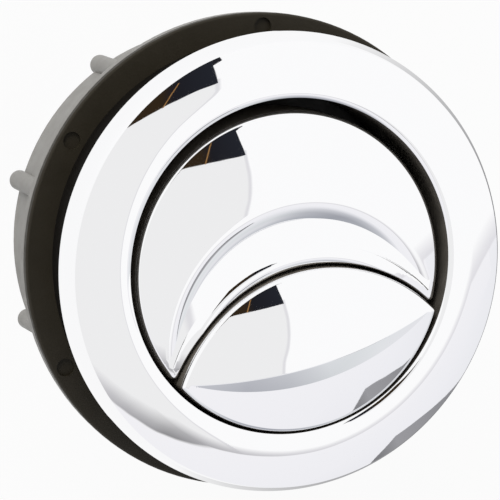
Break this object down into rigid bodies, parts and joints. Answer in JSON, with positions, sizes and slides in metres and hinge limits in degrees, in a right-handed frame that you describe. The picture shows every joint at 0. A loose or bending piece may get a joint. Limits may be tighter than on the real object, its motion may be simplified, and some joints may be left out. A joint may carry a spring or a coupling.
{
  "type": "dual-flush cistern push button",
  "caption": "Round chromed push button for a cistern lid, with a crescent full-flush and a lens-shaped half-flush button, threaded neck, clamp ring, lock nut and push rods.",
  "frame": {"origin": "centre of the bezel's foot, on the plane of the lid's top, on the axis of the lid's hole", "axes": "+Z out of the lid along the button axis, -Y towards the half-flush button, X along its crest"},
  "size_m": [0.0754, 0.0754, 0.0824],
  "materials": {
    "chrome_plate": "polished chrome on plastic",
    "black_plastic": "satin moulded",
    "black_ring": "satin moulded",
    "grey_plastic": "satin moulded",
    "white_plastic": "satin moulded",
    "steel": "bright drawn"
  },
  "bodies": {
    "housing": {"housing": "black_plastic", "bezel": "chrome_plate", "full_flush_spring": "steel", "half_flush_spring": "steel"},
    "clamp": {"clamp_ring": "black_ring"},
    "nut": {"lock_nut": "grey_plastic"},
    "full_flush": {"full_flush_cap": "chrome_plate", "full_flush_plunger": "white_plastic", "full_flush_screw": "steel", "full_flush_clip": "steel", "full_flush_rod": "white_plastic", "full_flush_rod_nut": "grey_plastic"},
    "half_flush": {"half_flush_cap": "chrome_plate", "half_flush_plunger": "white_plastic", "half_flush_screw": "steel", "half_flush_clip": "steel", "half_flush_rod": "white_plastic", "half_flush_rod_nut": "grey_plastic"}
  },
  "joints": [
    {"name": "full_flush_press", "type": "slide", "parent": "housing", "child": "full_flush", "axis": [0, 0, -1], "range_m": [0, 0.006], "stiffness_N_per_m": 400, "springref_m": -0.004, "deforming": ["full_flush_spring"]},
    {"name": "half_flush_press", "type": "slide", "parent": "housing", "child": "half_flush", "axis": [0, 0, -1], "range_m": [0, 0.006], "stiffness_N_per_m": 400, "springref_m": -0.004, "deforming": ["half_flush_spring"]},
    {"name": "clamp_travel", "type": "slide", "parent": "housing", "child": "clamp", "axis": [0, 0, 1], "range_m": [-0.005, 0.005]},
    {"name": "nut_turn", "type": "hinge", "parent": "clamp", "child": "nut", "pos_m": [0, 0, 0], "axis": [0, 0, 1], "range_deg": [-450, 450]}
  ],
  "couplings": [
    {"joint": "clamp_travel", "follows": "nut_turn", "m_per_rad": 0.00063662}
  ]
}
